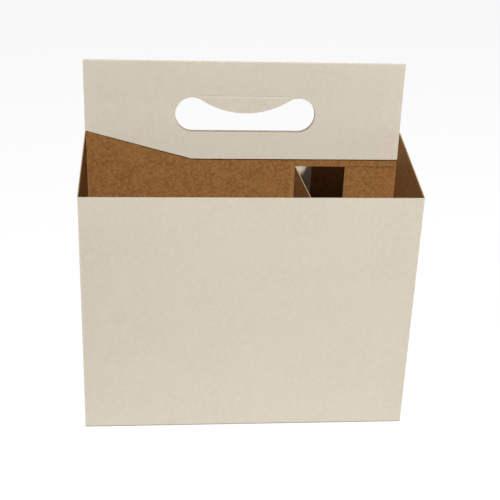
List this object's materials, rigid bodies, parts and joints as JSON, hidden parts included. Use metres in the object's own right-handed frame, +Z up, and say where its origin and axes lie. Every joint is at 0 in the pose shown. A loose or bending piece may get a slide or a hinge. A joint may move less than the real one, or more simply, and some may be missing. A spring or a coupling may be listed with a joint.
{
  "type": "bottle carrier",
  "caption": "Open-topped folded board carrier for bottles, with a cell for each bottle, a high centre handle and a hand hole with a finger flap.",
  "frame": {"origin": "middle of the base, on the surface that the carrier stands on", "axes": "+Z up through the handle, +X along the carrier to its right end, -Y out of the front wall"},
  "size_m": [0.197, 0.132, 0.2135],
  "materials": {
    "coated_board": "matte"
  },
  "bodies": {
    "root": {"carrier": "coated_board"}
  },
  "joints": []
}
